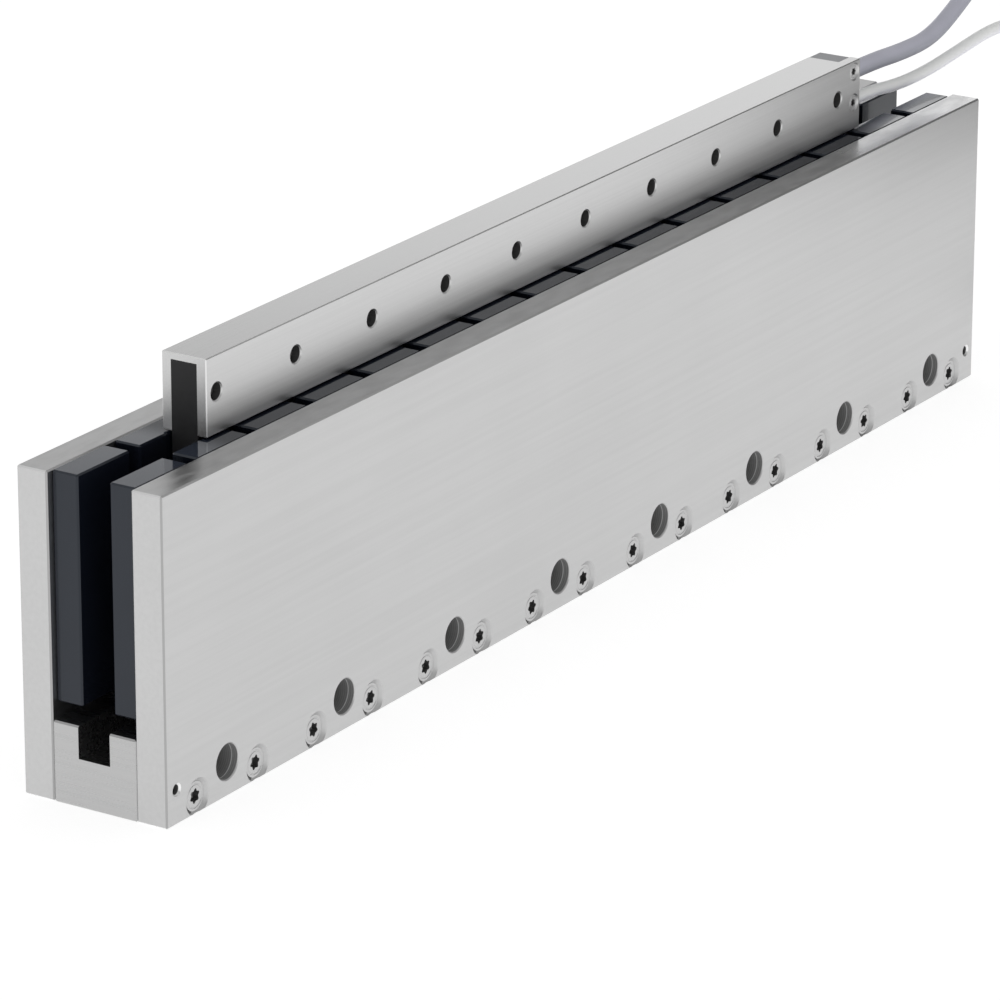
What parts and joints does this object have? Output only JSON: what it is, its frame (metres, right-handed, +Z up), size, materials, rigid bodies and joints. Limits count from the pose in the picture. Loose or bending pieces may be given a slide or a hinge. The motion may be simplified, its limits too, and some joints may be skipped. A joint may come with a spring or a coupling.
{
  "type": "ironless linear motor",
  "caption": "U-channel linear motor: a magnet track with a potted coil unit sliding in its gap, with two flying leads coiled behind it.",
  "frame": {"origin": "middle of the magnet track's underside, on the surface that it stands on", "axes": "+X along the track towards the end where the cables leave, -Y out of the plate with the wide screw head holes, +Z up"},
  "size_m": [0.6876, 0.0838, 0.138],
  "materials": {
    "nickel_plate": "satin nickel plating on milled and brushed steel",
    "magnet_coating": "dark epoxy coating, satin",
    "screw_steel": "bright zinc, satin",
    "carrier_metal": "brushed along its length",
    "insert_steel": "machined stainless steel",
    "blade_epoxy": "potting epoxy, satin",
    "copper_wire": "enamelled copper winding",
    "circuit_board": "solder resist",
    "sensor_case": "moulded case",
    "outlet_plastic": "moulded, fine grain",
    "grommet_rubber": "moulded",
    "power_jacket": "extruded jacket, satin",
    "sensor_jacket": "extruded jacket, satin",
    "tinned_copper": "cores with tinned ferrules",
    "tie_nylon": "nylon strap"
  },
  "bodies": {
    "magnet_track": {"side_plate_front": "nickel_plate", "side_plate_rear": "nickel_plate", "base_spacer": "nickel_plate", "plate_screws_front": "screw_steel", "plate_screws_rear": "screw_steel", "magnet_front_01": "magnet_coating", "magnet_front_02": "magnet_coating", "magnet_front_03": "magnet_coating", "magnet_front_04": "magnet_coating", "magnet_front_05": "magnet_coating", "magnet_front_06": "magnet_coating", "magnet_front_07": "magnet_coating", "magnet_front_08": "magnet_coating", "magnet_front_09": "magnet_coating", "magnet_front_10": "magnet_coating", "magnet_front_11": "magnet_coating", "magnet_front_12": "magnet_coating", "magnet_front_13": "magnet_coating", "magnet_front_14": "magnet_coating", "magnet_front_15": "magnet_coating", "magnet_front_16": "magnet_coating", "magnet_rear_01": "magnet_coating", "magnet_rear_02": "magnet_coating", "magnet_rear_03": "magnet_coating", "magnet_rear_04": "magnet_coating", "magnet_rear_05": "magnet_coating", "magnet_rear_06": "magnet_coating", "magnet_rear_07": "magnet_coating", "magnet_rear_08": "magnet_coating", "magnet_rear_09": "magnet_coating", "magnet_rear_10": "magnet_coating", "magnet_rear_11": "magnet_coating", "magnet_rear_12": "magnet_coating", "magnet_rear_13": "magnet_coating", "magnet_rear_14": "magnet_coating", "magnet_rear_15": "magnet_coating", "magnet_rear_16": "magnet_coating"},
    "coil_unit": {"coil_carrier": "carrier_metal", "blade_skin_front": "blade_epoxy", "blade_skin_rear": "blade_epoxy", "blade_core": "blade_epoxy", "coil_formers": "blade_epoxy", "winding_phase_u": "copper_wire", "winding_phase_v": "copper_wire", "winding_phase_w": "copper_wire", "mounting_inserts": "insert_steel", "connection_board": "circuit_board", "temperature_sensor": "sensor_case", "cable_outlet_block": "outlet_plastic", "outlet_screws": "screw_steel", "power_cable_grommet": "grommet_rubber", "sensor_cable_grommet": "grommet_rubber", "power_cable": "power_jacket", "power_cable_coil": "power_jacket", "power_cable_leads": "tinned_copper", "power_cable_ties": "tie_nylon", "sensor_cable": "sensor_jacket", "sensor_cable_coil": "sensor_jacket", "sensor_cable_leads": "tinned_copper", "sensor_cable_ties": "tie_nylon"}
  },
  "joints": [
    {"name": "coil_travel", "type": "slide", "parent": "magnet_track", "child": "coil_unit", "axis": [1, 0, 0], "range_m": [-0.0466, 0.0534]}
  ]
}
